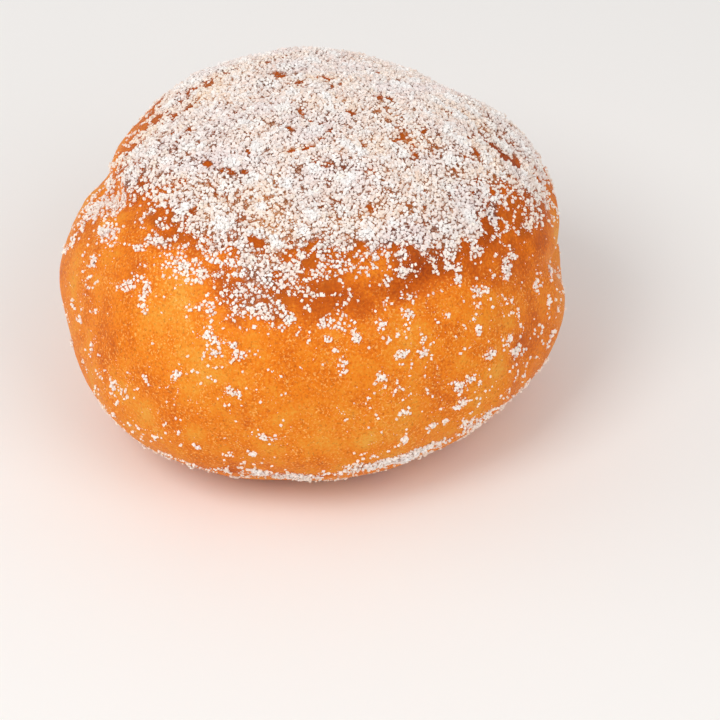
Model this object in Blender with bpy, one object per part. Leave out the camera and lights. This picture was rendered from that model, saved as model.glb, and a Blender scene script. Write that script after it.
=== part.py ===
"""Jam doughnut: a round fried bun, whole and closed, with a rolled-on crust of sugar.

One solid. Its skin is worked out from a few driving sizes: a dome and a keel that
meet at the belly, waves in the plan, a waist groove, hills and dents, and a flat foot.
The largest lumps of sugar stand on it and are joined to it.

Metres, +Z up. The origin is under the middle of the doughnut, on the surface it rests on.
Azimuth is counted anticlockwise from +X, rise upwards from the belly, both in degrees.
"""

import math

import bmesh
import bpy
import numpy as np
from mathutils import Vector

MM = 0.001

# The bun's driving sizes
BELLY_RADIUS = 48.0 * MM
BELLY_HEIGHT = 26.0 * MM
DOME_HEIGHT = 35.4 * MM
KEEL_DEPTH = 29.2 * MM
DOME_POWER = 2.3
KEEL_POWER = 2.38
FOOT_SOFTNESS = 2.0 * MM

# Waves of the plan: how many go round, then the cosine and sine share of the radius
PLAN_WAVES = (
    (1, -0.002, 0.001),
    (2, -0.013, 0.023),
    (3, 0.026, -0.016),
    (4, -0.002, 0.012),
    (5, -0.008, -0.002),
)

# The waist groove under the cap: azimuth, rise, depth in mm
WAIST = (
    (-168, 24, 0.5),
    (-140, 34, 0.3),
    (-105, 31, 0.2),
    (-74, 28, 0.5),
    (-56, 30, 1.1),
    (-38, 25, 0.5),
    (-20, 14, 0.9),
    (0, 4, 2.9),
    (20, 6, 2.6),
    (48, 14, 0.7),
    (90, 20, 0.5),
    (130, 20, 0.5),
    (168, 20, 0.6),
)
WAIST_REACH = 13.0
WAIST_HALF_WIDTH = 4.2

# Hills and dents: azimuth, rise, half length, half width, tilt of the length, height in mm
HILLS = (
    (-176, 28, 20, 4.2, 24, -2.6),
    (-176, 5, 16, 10, 0, 1.1),
    (-170, 20, 10, 5, 0, 0.5),
    (176, 22, 8, 4, 20, 1.3),
    (161, 19, 7, 3, 0, -0.7),
    (157, 27, 7, 4, 0, 0.5),
    (142, 29, 12, 8, 0, 0.4),
    (118, 33, 9, 7, 0, -0.4),
    (107, 34, 14, 8, 0, -0.5),
    (93, 42, 10, 8, 0, 0.5),
    (27, 24, 10, 9, 0, 0.8),
    (46, 33, 9, 8, 0, -0.9),
    (80, 37, 9, 8, 0, 0.3),
    (5, 12, 9, 3, 0, 0.7),
    (-8, -3, 10, 5, 0, 0.2),
    (-20, -12, 9, 8, 0, -0.5),
    (-37, -17, 11, 8, 0, -1.3),
    (-76, -26, 9, 7, 0, -0.4),
    (-98, -24, 9, 8, 0, -0.3),
    (-120, -23, 8, 6, 0, -0.4),
    (-136, -17, 11, 8, 0, -0.4),
    (-153, -11, 9, 8, 0, -0.6),
    (-163, -3, 9, 8, 0, -0.5),
    (-122, 75, 9, 2.5, 15, -0.6),
    (-36, 70, 5, 2.5, 60, -0.5),
    (-8, 40, 9, 3, -55, -0.7),
)

# Unevenness of the dough all over: how many waves, their depth and their spread
UNEVEN_WAVES = 26
UNEVEN_DEPTH = 0.11 * MM
UNEVEN_SPREAD = 7.0
UNEVEN_SEED = 11

# Lower limit of the thick sugar: azimuth, rise
SUGAR_LIMIT = (
    (-180, 34),
    (-170, 33),
    (-165, 35),
    (-158, 40),
    (-150, 43.5),
    (-143, 43),
    (-135, 40.5),
    (-125, 38.5),
    (-115, 38),
    (-105, 37),
    (-100, 37.5),
    (-93, 38.5),
    (-85, 39),
    (-80, 40.5),
    (-72, 41),
    (-65, 39),
    (-58, 36.5),
    (-50, 34.6),
    (-40, 31.4),
    (-33, 30),
    (-27, 33),
    (-20, 35),
    (-12, 31.5),
    (-5, 26),
    (2, 21),
    (15, 19),
    (28, 22),
    (40, 25),
    (70, 31),
    (100, 28),
    (130, 27),
    (145, 33),
    (155, 38),
    (165, 38),
    (175, 36.5),
)
LIMIT_SOFTNESS = 2.0

# Lumps of sugar that are placed by eye: azimuth, rise, width in mm
PLACED_LUMPS = (
    (-157, 27, 1.6),
    (-153, 21.5, 1.7),
    (-136, 35, 1.6),
    (-132.5, 25, 1.6),
    (-125, 33, 1.6),
    (-120, 33, 1.5),
    (-111, 18.3, 1.7),
    (-107.5, 20.5, 1.5),
    (-107, 10, 1.6),
    (-104, 28, 1.7),
    (-95, 27.5, 1.5),
    (-87, 26, 1.4),
    (-86, 22.5, 1.5),
    (-79, 22, 1.6),
    (-73.5, 12, 1.5),
    (-72, 23.8, 1.4),
    (-71.5, 20.5, 1.3),
    (-68, 33.5, 1.4),
    (-68, 16, 1.4),
    (-64.5, 24.5, 1.6),
    (-63.5, 15, 1.5),
    (-62.5, 34, 1.5),
    (-49, 31, 1.5),
    (-47.5, 15, 1.4),
    (-46.3, 29.5, 1.6),
    (-45, 8, 1.6),
    (-44.5, 23.5, 1.5),
    (-38.5, 8, 1.3),
    (-37, 3.5, 1.6),
    (-32, 22.5, 1.8),
    (-20.5, 7, 1.4),
    (-14, 11, 1.6),
    (-54.5, 3.5, 1.7),
    (-51, 4, 1.4),
    (-54, -2, 1.6),
    (-57.5, -6, 1.5),
    (-61, -6, 1.4),
    (-68.3, -7.5, 1.6),
    (-100, -1, 1.3),
    (-119.5, 11, 1.3),
    (-115, -6.5, 1.3),
    (-127, 7.5, 1.3),
    (-136, 0.5, 1.4),
    (-145, 5, 1.3),
    (-169, 49, 1.8),
    (-165.5, 45.5, 1.6),
    (-151.5, 49.6, 1.6),
    (-167.3, 41, 1.5),
    (-132.6, 47, 1.8),
    (-138.5, 63.5, 1.6),
    (-71, 64, 1.5),
    (126.5, 61.5, 1.7),
    (33, 76.5, 1.6),
    (-72, 55.8, 1.5),
    (-11.5, 42.5, 1.7),
    (-26.3, 47, 1.5),
    (-49.5, 41.4, 1.8),
    (-42, 35.5, 1.8),
    (-3, 27.4, 1.6),
    (-37.3, 46.7, 1.4),
    (-39.5, 40.6, 1.5),
    (-84.3, 51.8, 1.5),
)

# Lumps that are drawn by rule: largest first, spread evenly where the sugar lies
LUMPS_DRAWN = 118
LUMP_LARGEST = 1.7 * MM
LUMP_SMALLEST = 1.0 * MM
LUMP_SPACING = 3.2
LUMP_SEED = 5
LOWEST_SINE = -0.4
RIM_RISE = -16.0
RIM_HALF_WIDTH = 3.5
SIDE_SHARE = 0.06
RIM_SHARE = 0.35
LOWEST_RISE = -22.0

# Form of a lump: height and depth in the skin for its width, unevenness, least and most stretch
LUMP_FLATNESS = 0.55
LUMP_SINK = 0.12
LUMP_ROUGHNESS = 0.16
SHORT_STRETCH = (0.5, 0.85)
TALL_STRETCH = (0.9, 1.15)

CRUST_COLOUR = (0.78, 0.29, 0.05, 1.0)
SUGAR_COLOUR = (0.92, 0.88, 0.86, 1.0)
CRUST_ROUGHNESS = 0.55
SUGAR_ROUGHNESS = 0.5

BUN_FINENESS = 5
SLOPE_STEP = 0.004
BELT_RISE = 40.0
SHARP_ANGLE = 35.0


def clear_scene():
    """Removes whatever the scene holds."""
    for old in list(bpy.data.objects):
        bpy.data.objects.remove(old, do_unlink=True)


def turn_between(azimuth, centre):
    """The signed turn in degrees from one azimuth to another, between -180 and 180."""
    return (azimuth - centre + 180.0) % 360.0 - 180.0


def smooth_share(azimuth, places, reach):
    """Weights of the listed azimuths at a given azimuth: bell curves that add up to one."""
    gap = turn_between(np.asarray(azimuth)[..., None], np.asarray(places))
    weight = np.exp(-((gap / reach) ** 2))
    return weight / weight.sum(-1, keepdims=True)


def waist_groove(azimuth, rise):
    """A bell-shaped groove whose rise and depth drift along the listed azimuths."""
    place, level, depth = np.array(WAIST, float).T
    share = smooth_share(azimuth, place, WAIST_REACH)
    off = rise - (share * level).sum(-1)
    return -(share * depth).sum(-1) * MM * np.exp(-((off / WAIST_HALF_WIDTH) ** 2))


def hills_and_dents(azimuth, rise):
    """The sum of the listed hills, each a tilted oval bell curve over azimuth and rise."""
    total = np.zeros(np.broadcast(azimuth, rise).shape)
    for place, level, length, width, tilt, height in HILLS:
        across = turn_between(azimuth, place) * math.cos(math.radians(level))
        up = rise - level
        cos, sin = math.cos(math.radians(tilt)), math.sin(math.radians(tilt))
        along = across * cos + up * sin
        aside = up * cos - across * sin
        total += height * MM * np.exp(-((along / length) ** 2) - (aside / width) ** 2)
    return total


def unevenness(direction):
    """Dough is never smooth: a sum of seeded sine waves over the direction."""
    rng = np.random.default_rng(UNEVEN_SEED)
    wave = rng.normal(0.0, UNEVEN_SPREAD, (UNEVEN_WAVES, 3))
    phase = rng.uniform(0.0, 2.0 * math.pi, UNEVEN_WAVES)
    return UNEVEN_DEPTH * np.sin(direction @ wave.T + phase).sum(-1)


def press_flat(height):
    """Flattens what lies below the table and rounds the edge of the foot that this makes."""
    rounded = (height + FOOT_SOFTNESS) ** 2 / (4.0 * FOOT_SOFTNESS)
    flat = np.where(height < -FOOT_SOFTNESS, 0.0, rounded)
    return np.where(height > FOOT_SOFTNESS, height, flat)


def skin(azimuth, rise):
    """The point of the skin at each azimuth and rise.

    The reach from the middle of the belly is that of a superellipse, with one power and
    height above the belly and another below it, and a radius that the plan waves vary.
    """
    turn, lift = np.radians(azimuth), np.radians(rise)
    cos, sin = np.cos(lift), np.sin(lift)
    plan = np.ones(np.shape(turn))
    for count, cosine_share, sine_share in PLAN_WAVES:
        plan = plan + cosine_share * np.cos(count * turn) + sine_share * np.sin(count * turn)
    power = np.where(sin > 0.0, DOME_POWER, KEEL_POWER)
    tall = np.where(sin > 0.0, DOME_HEIGHT, KEEL_DEPTH)
    width_part = (cos / (BELLY_RADIUS * plan)) ** power
    reach = (width_part + (np.abs(sin) / tall) ** power) ** (-1.0 / power)
    direction = np.stack([cos * np.cos(turn), cos * np.sin(turn), sin], -1)
    reach = reach + hills_and_dents(azimuth, rise) + waist_groove(azimuth, rise)
    reach = reach + unevenness(direction)
    point = direction * reach[..., None]
    point[..., 2] = press_flat(point[..., 2] + BELLY_HEIGHT)
    return point


def plan_centre():
    """The middle of the skin's box in plan, which the doughnut is centred on."""
    azimuth, rise = np.meshgrid(np.arange(360.0), np.arange(-BELT_RISE, BELT_RISE + 1.0))
    point = skin(azimuth, rise).reshape(-1, 3)
    middle = (point.min(0) + point.max(0)) / 2.0
    middle[2] = 0.0
    return middle


def skin_frame(azimuth, rise):
    """Points of the skin with two directions along it and the one out of it."""
    azimuth, rise = np.asarray(azimuth, float), np.asarray(rise, float)
    step = math.degrees(SLOPE_STEP)
    point = skin(azimuth, rise)
    east = skin(azimuth + step, rise) - skin(azimuth - step, rise)
    north = skin(azimuth, rise + step) - skin(azimuth, rise - step)
    outward = np.cross(east, north)
    outward /= np.linalg.norm(outward, axis=-1, keepdims=True)
    east /= np.linalg.norm(east, axis=-1, keepdims=True)
    return point, east, np.cross(outward, east), outward


def sugar_share(azimuth, rise):
    """How thickly lumps lie, 0 to 1: all over the cap, along the lower rim, thin between."""
    place, level = np.array(SUGAR_LIMIT, float).T
    limit = np.interp(azimuth, place, level, period=360.0)
    cap = 1.0 / (1.0 + np.exp(-(rise - limit) / LIMIT_SOFTNESS))
    rim = RIM_SHARE * np.exp(-(((rise - RIM_RISE) / RIM_HALF_WIDTH) ** 2))
    share = np.maximum(np.maximum(cap, rim), SIDE_SHARE)
    return np.where(rise < LOWEST_RISE, 0.0, share)


def lump_places():
    """Azimuth, rise and width of every lump: the listed ones, then seeded draws.

    A draw is spread evenly over the sphere of directions. It stays if the sugar is thick
    enough there and no lump that is already placed lies too near. Widths run from the
    largest down to the smallest.
    """
    rng = np.random.default_rng(LUMP_SEED)
    places = [(float(a), float(r), w * MM) for a, r, w in PLACED_LUMPS]
    points = [skin(np.array(a), np.array(r)) for a, r, _ in places]
    while len(places) < len(PLACED_LUMPS) + LUMPS_DRAWN:
        done = (len(places) - len(PLACED_LUMPS)) / LUMPS_DRAWN
        width = LUMP_LARGEST + (LUMP_SMALLEST - LUMP_LARGEST) * done
        azimuth = rng.uniform(-180.0, 180.0)
        rise = math.degrees(math.asin(rng.uniform(LOWEST_SINE, 1.0)))
        if rng.uniform() > sugar_share(np.array(azimuth), np.array(rise)):
            continue
        point = skin(np.array(azimuth), np.array(rise))
        gap = np.linalg.norm(np.array(points) - point, axis=1).min()
        if gap < LUMP_SPACING * width:
            continue
        places.append((azimuth, rise, width))
        points.append(point)
    return places


def make_bun(centre):
    """The bun: an even ball of triangles whose points are carried out to the skin."""
    form = bmesh.new()
    bmesh.ops.create_icosphere(form, subdivisions=BUN_FINENESS, radius=1.0)
    ball = np.array([vert.co for vert in form.verts])
    azimuth = np.degrees(np.arctan2(ball[:, 1], ball[:, 0]))
    rise = np.degrees(np.arcsin(np.clip(ball[:, 2], -1.0, 1.0)))
    for vert, place in zip(form.verts, skin(azimuth, rise) - centre):
        vert.co = Vector(place)
    bmesh.ops.recalc_face_normals(form, faces=form.faces)
    mesh = bpy.data.meshes.new("doughnut")
    form.to_mesh(mesh)
    form.free()
    bun = bpy.data.objects.new("doughnut", mesh)
    bpy.context.scene.collection.objects.link(bun)
    return bun


def make_lump(name, place, width, centre, rng):
    """A lump of sugar: a flattened ball of twenty faces with uneven corners, half sunk in."""
    point, east, north, outward = skin_frame(place[0], place[1])
    form = bmesh.new()
    bmesh.ops.create_icosphere(form, subdivisions=1, radius=1.0)
    ball = np.array([vert.co for vert in form.verts])
    ball = ball * (1.0 + rng.uniform(-LUMP_ROUGHNESS, LUMP_ROUGHNESS, (len(ball), 1)))
    spin = rng.uniform(0.0, 2.0 * math.pi)
    long_half = width / 2.0
    short_half = long_half * rng.uniform(*SHORT_STRETCH)
    tall_half = long_half * LUMP_FLATNESS * rng.uniform(*TALL_STRETCH)
    along = east * math.cos(spin) + north * math.sin(spin)
    aside = north * math.cos(spin) - east * math.sin(spin)
    axes = np.stack([along * long_half, aside * short_half, outward * tall_half])
    base = point - centre - outward * tall_half * LUMP_SINK
    for vert, corner in zip(form.verts, base + ball @ axes):
        vert.co = Vector(corner)
    bmesh.ops.recalc_face_normals(form, faces=form.faces)
    mesh = bpy.data.meshes.new(name)
    form.to_mesh(mesh)
    form.free()
    return bpy.data.objects.new(name, mesh)


def make_material(name, colour, roughness):
    """A plain matte finish."""
    finish = bpy.data.materials.new(name)
    finish.use_nodes = True
    shader = finish.node_tree.nodes["Principled BSDF"]
    shader.inputs["Base Color"].default_value = colour
    shader.inputs["Roughness"].default_value = roughness
    shader.inputs["Metallic"].default_value = 0.0
    return finish


def join_lumps(bun, lumps):
    """One union of the bun with the whole collection of lumps, which is then removed."""
    union = bun.modifiers.new("lumps", "BOOLEAN")
    union.operation = "UNION"
    union.operand_type = "COLLECTION"
    union.collection = lumps
    union.solver = "EXACT"
    union.material_mode = "TRANSFER"
    graph = bpy.context.evaluated_depsgraph_get()
    joined = bpy.data.meshes.new_from_object(bun.evaluated_get(graph))
    bun.modifiers.remove(union)
    bun.data = joined
    for lump in list(lumps.objects):
        bpy.data.objects.remove(lump, do_unlink=True)
    bpy.data.collections.remove(lumps)


def keep_the_body(bun):
    """Drops every shell but the largest: loose scraps, and hollows that the union sealed."""
    form = bmesh.new()
    form.from_mesh(bun.data)
    bmesh.ops.triangulate(form, faces=form.faces)
    left = set(form.faces)
    shells = []
    while left:
        stack = [left.pop()]
        shell = list(stack)
        while stack:
            face = stack.pop()
            for edge in face.edges:
                for neighbour in edge.link_faces:
                    if neighbour in left:
                        left.remove(neighbour)
                        shell.append(neighbour)
                        stack.append(neighbour)
        shells.append(shell)
    shells.sort(key=len)
    for shell in shells[:-1]:
        corners = {vert for face in shell for vert in face.verts}
        bmesh.ops.delete(form, geom=list(corners), context="VERTS")
    form.to_mesh(bun.data)
    form.free()
    bun.data.shade_smooth()
    bun.data.set_sharp_from_angle(angle=math.radians(SHARP_ANGLE))


def main():
    """Makes the bun and its lumps of sugar, and joins them to one solid."""
    clear_scene()
    centre = plan_centre()
    crust = make_material("crust", CRUST_COLOUR, CRUST_ROUGHNESS)
    sugar = make_material("sugar", SUGAR_COLOUR, SUGAR_ROUGHNESS)
    bun = make_bun(centre)
    bun.data.materials.append(crust)
    lumps = bpy.data.collections.new("sugar lumps")
    bpy.context.scene.collection.children.link(lumps)
    rng = np.random.default_rng(LUMP_SEED + 1)
    for number, (azimuth, rise, width) in enumerate(lump_places()):
        lump = make_lump(f"lump_{number:03d}", (azimuth, rise), width, centre, rng)
        lump.data.materials.append(sugar)
        lumps.objects.link(lump)
    join_lumps(bun, lumps)
    keep_the_body(bun)


main()
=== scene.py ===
"""The jam doughnut, dressed: a fried bun with a browned skin, and its sugar crystal by crystal.

Metres, +Z up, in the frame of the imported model. Azimuth is counted anticlockwise from +X and rise
upwards from the belly, both in degrees, so the side that the photograph shows is azimuth -90.
"""

import math

import bpy
import numpy as np
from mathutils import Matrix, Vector


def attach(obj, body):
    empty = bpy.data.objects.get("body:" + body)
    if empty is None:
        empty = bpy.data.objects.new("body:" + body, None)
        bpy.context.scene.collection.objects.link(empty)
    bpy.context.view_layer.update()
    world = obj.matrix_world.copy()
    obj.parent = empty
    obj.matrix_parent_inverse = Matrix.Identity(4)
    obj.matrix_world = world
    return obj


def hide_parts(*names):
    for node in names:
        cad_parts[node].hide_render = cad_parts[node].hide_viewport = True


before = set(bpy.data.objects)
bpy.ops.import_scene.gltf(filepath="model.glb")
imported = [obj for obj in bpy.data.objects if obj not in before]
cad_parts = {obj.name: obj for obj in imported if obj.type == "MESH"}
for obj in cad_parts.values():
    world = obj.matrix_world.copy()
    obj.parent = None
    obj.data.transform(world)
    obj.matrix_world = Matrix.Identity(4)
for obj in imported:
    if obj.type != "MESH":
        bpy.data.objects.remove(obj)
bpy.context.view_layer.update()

NODE = "doughnut"
MM = 0.001

# The bun's driving sizes, as the solid has them
BELLY_RADIUS = 48.0 * MM
BELLY_HEIGHT = 26.0 * MM
DOME_HEIGHT = 35.4 * MM
KEEL_DEPTH = 29.2 * MM
DOME_POWER = 2.3
KEEL_POWER = 2.38
FOOT_SOFTNESS = 2.0 * MM

# Waves of the plan: how many go round, then the cosine and sine share of the radius
PLAN_WAVES = (
    (1, -0.002, 0.001),
    (2, -0.013, 0.023),
    (3, 0.026, -0.016),
    (4, -0.002, 0.012),
    (5, -0.008, -0.002),
)

# The waist groove under the cap: azimuth, rise, depth in mm
WAIST = (
    (-168, 24, 0.5), (-140, 34, 0.3), (-105, 31, 0.2), (-74, 28, 0.5), (-56, 30, 1.1),
    (-38, 25, 0.5), (-20, 14, 0.9), (0, 4, 2.9), (20, 6, 2.6), (48, 14, 0.7), (90, 20, 0.5),
    (130, 20, 0.5), (168, 20, 0.6),
)
WAIST_REACH = 13.0
WAIST_HALF_WIDTH = 4.2

# Hills and dents: azimuth, rise, half length, half width, tilt of the length, height in mm
HILLS = (
    (-176, 28, 20, 4.2, 24, -2.6), (-176, 5, 16, 10, 0, 1.1), (-170, 20, 10, 5, 0, 0.5),
    (176, 22, 8, 4, 20, 1.3), (161, 19, 7, 3, 0, -0.7), (157, 27, 7, 4, 0, 0.5),
    (142, 29, 12, 8, 0, 0.4), (118, 33, 9, 7, 0, -0.4), (107, 34, 14, 8, 0, -0.5),
    (93, 42, 10, 8, 0, 0.5), (27, 24, 10, 9, 0, 0.8), (46, 33, 9, 8, 0, -0.9),
    (80, 37, 9, 8, 0, 0.3), (5, 12, 9, 3, 0, 0.7), (-8, -3, 10, 5, 0, 0.2),
    (-20, -12, 9, 8, 0, -0.5), (-37, -17, 11, 8, 0, -1.3), (-76, -26, 9, 7, 0, -0.4),
    (-98, -24, 9, 8, 0, -0.3), (-120, -23, 8, 6, 0, -0.4), (-136, -17, 11, 8, 0, -0.4),
    (-153, -11, 9, 8, 0, -0.6), (-163, -3, 9, 8, 0, -0.5), (-122, 75, 9, 2.5, 15, -0.6),
    (-36, 70, 5, 2.5, 60, -0.5), (-8, 40, 9, 3, -55, -0.7),
)

# Unevenness of the dough all over: how many waves, their depth and their spread
UNEVEN_WAVES = 26
UNEVEN_DEPTH = 0.11 * MM
UNEVEN_SPREAD = 7.0
UNEVEN_SEED = 11

# What only the skin of the dressed bun has: height of the ripples, their width, their seed
RIPPLES = (
    (0.05 * MM, 4.0 * MM, 21),
    (0.025 * MM, 1.6 * MM, 22),
)
RIPPLE_FADE = 6.0 * MM
FIELD_WAVES = 30
WAVE_SPAN = (0.65, 1.35)
SLOPE_STEP = 0.006

# Where the thick sugar of the cap ends: azimuth, rise, softness of its edge in degrees
SUGAR_LIMIT = (
    (-180, 34, 3.0), (-170, 33, 2.5), (-165, 35, 2.5), (-158, 40, 2.0), (-150, 43.5, 1.5),
    (-143, 43, 1.5), (-135, 40.5, 2.2), (-125, 38.5, 3.0), (-115, 38, 3.2), (-105, 37, 3.2),
    (-100, 37.5, 3.2), (-93, 38.5, 3.2), (-85, 39, 3.0), (-80, 40.5, 2.6), (-72, 41, 2.2),
    (-65, 39, 2.0), (-58, 36.5, 1.8), (-50, 34.6, 1.3), (-40, 31.4, 1.3), (-33, 30, 1.6),
    (-27, 33, 2.4), (-20, 35, 3.0), (-12, 31.5, 3.0), (-5, 26, 3.5), (2, 21, 4.0), (15, 19, 4.0),
    (28, 22, 3.5), (40, 25, 3.0), (70, 31, 3.0), (100, 28, 3.0), (130, 27, 3.0), (145, 33, 3.0),
    (155, 38, 4.0), (165, 38, 4.0), (175, 36.5, 4.0),
)

# Clusters of sugar below that limit: azimuth, rise, half width, half height, tilt, share covered
SUGAR_PATCHES = (
    (-174, 24, 7, 6, 0, 0.58), (-178, 26, 6, 5, 0, 0.62), (-156, 27.5, 5, 2.6, 20, 0.61),
    (-149, 27.5, 4, 1.8, 0, 0.35), (-148, 39.5, 3.17, 2.44, -50, 0.6),
    (-137, 35.3, 4.5, 1.6, 12, 0.69), (-141.5, 38.5, 3.2, 1.5, 0, 0.6),
    (-142, 31.5, 1.95, 1.34, 0, 0.47), (-125.5, 33.3, 3.42, 2.44, 0, 0.59),
    (-120.3, 33.3, 2.07, 2.93, 0, 0.59), (-133, 25.3, 1.59, 2.93, 0, 0.59),
    (-135, 28.5, 1.46, 1.34, 0, 0.47), (-131, 21.3, 1.59, 1.34, 0, 0.47),
    (-116, 26.5, 2.93, 1.59, 0, 0.47), (-114, 22.3, 1.1, 2.2, 0, 0.52),
    (-111, 18, 2.93, 1.71, 20, 0.61), (-107.5, 20.8, 2.3, 1.7, 0, 0.64),
    (-106, 18.5, 1.83, 1.83, 0, 0.55), (-110, 19, 6, 4, 0, 0.22), (-107, 10, 2.44, 1.34, 0, 0.59),
    (-106, 28.3, 5.2, 1.7, 0, 0.67), (-106.5, 32.2, 6, 1.6, 0, 0.69), (-101.5, 25, 3, 1.4, 0, 0.4),
    (-107, 24.5, 4, 1.4, 0, 0.3), (-119.5, 11, 1.1, 1.1, 0, 0.62),
    (-127, 7.5, 2.44, 1.1, -30, 0.47), (-136, 0.5, 1.71, 1.34, 0, 0.55),
    (-145, 5.5, 1.34, 2.68, -20, 0.47), (-156, 9, 1.46, 1.59, 0, 0.43),
    (-152, 7.5, 1.34, 1.34, 0, 0.43), (-153, 21.5, 1.95, 1.46, 0, 0.65),
    (-153, 24, 2.2, 0.976, 40, 0.43), (-96.5, 33.2, 3.42, 1.71, 0, 0.55),
    (-95, 27.6, 1.83, 1.71, 0, 0.61), (-98, 24, 2.93, 1.59, 0, 0.34),
    (-89, 32.6, 3.42, 1.34, 0, 0.46), (-93, 30.5, 11, 3, 0, 0.2), (-78, 33.5, 8, 4, 0, 0.15),
    (-61.5, 37.8, 3, 1.3, 0, 0.7), (-38.5, 31, 2.5, 1.6, 0, 0.7), (-87, 26, 1.83, 1.83, 0, 0.55),
    (-86, 22.6, 2.2, 1.46, 0, 0.55), (3, 21, 6, 3.5, 0, 0.52), (-84, 20.5, 1.22, 1.22, 0, 0.47),
    (-79, 22, 2.44, 1.59, -20, 0.61), (-81.5, 25, 3.42, 1.22, 0, 0.39),
    (-72, 23.8, 1.22, 1.83, 0, 0.58), (-71.5, 20.6, 1.34, 1.22, 0, 0.58),
    (-68, 21.5, 2.93, 1.22, 30, 0.34), (-64.5, 24.7, 2.56, 1.46, 0, 0.63),
    (-68.3, 16.2, 1.83, 1.22, 0, 0.58), (-63.5, 14.8, 2.56, 1.22, 10, 0.55),
    (-73.7, 12, 2.07, 1.22, 35, 0.63), (-83, 17, 1.83, 1.22, 0, 0.43),
    (-82.5, 15, 0.976, 0.976, 0, 0.58), (-69, 1.3, 1.2, 1.4, 0, 0.4),
    (-100, -1, 3.54, 1.1, -5, 0.52), (-68, 33.5, 1.71, 1.71, 0, 0.58),
    (-62.5, 34.2, 2.81, 1.95, 0, 0.59), (-46.3, 29.6, 1.83, 1.46, 0, 0.63),
    (-49, 31.2, 2.32, 1.34, 0, 0.55), (-44.5, 23.5, 1.34, 1.46, -40, 0.63),
    (-31.8, 22.5, 2.2, 3.42, -20, 0.65), (-26.5, 25, 1.22, 1.83, 0, 0.5),
    (-47.5, 15.2, 1.22, 1.22, 0, 0.65), (-45.2, 8, 2.07, 1.46, 0, 0.63),
    (-38.5, 8, 1.46, 1.59, 0, 0.55), (-37, 3.5, 2.68, 1.95, 0, 0.55),
    (-54.5, 3.6, 2.32, 2.44, 25, 0.63), (-51, 4.2, 1.59, 1.34, 0, 0.58),
    (-54, -2, 2.32, 1.83, 0, 0.63), (-48, 0.5, 2.2, 2.2, 0, 0.38), (-23, 13, 2.93, 1.83, 20, 0.43),
    (-20.5, 7, 1.83, 1.83, 0, 0.52), (-14, 11, 2.93, 2.32, 0, 0.55), (-31, -2, 1.34, 1.34, 0, 0.43),
    (-16, 26.5, 6, 3, 0, 0.52), (-8, 25.5, 7, 4.2, 0, 0.52), (-63, 27.5, 2.32, 1.34, 0, 0.43),
    (-56, 21, 2.32, 1.22, 0, 0.43), (-68.3, -8, 1.59, 1.34, 0, 0.65),
    (-61, -6.3, 1.95, 1.1, 15, 0.59), (-57.5, -6, 2.32, 1.46, 0, 0.58),
    (-54.5, -8, 1.34, 1.1, 0, 0.52), (-74, -10.5, 2.32, 1.34, 0, 0.39),
    (-50, -10.5, 3.2, 2.2, 0, 0.64), (-45.5, -10.5, 3.42, 2.44, 0, 0.55),
    (-41, -10.5, 2.44, 1.71, 0, 0.5), (-107.7, -8, 1.59, 0.976, 0, 0.62),
    (-126, -7.5, 1.59, 1.59, 0, 0.58), (-36, -4, 3, 2, 0, 0.35), (-103, 37, 10, 5, 0, 0.84),
    (-103.5, 29.5, 8.5, 4.8, 0, 0.7), (-125, 34.5, 8, 5, 8, 0.41), (-137, 25.5, 2.8, 5, 0, 0.34),
    (-109.5, 19.5, 4, 2.8, 0, 0.5), (-87, 36, 6, 4, 0, 0.44), (-117.5, 35.5, 3.6, 3, 0, 0.64),
    (-114, 34.3, 2.6, 2.4, 0, 0.52), (-87, 28.5, 7, 4, 0, 0.26), (-119, 27, 6, 4, 0, 0.16),
    (-131, 36.5, 9, 2.6, 8, 0.45), (-62, 21, 12, 7, 0, 0.07), (-48, 4, 13, 10, 0, 0.045),
    (-169, 31, 8, 5.5, 0, 0.54),
)

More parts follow.
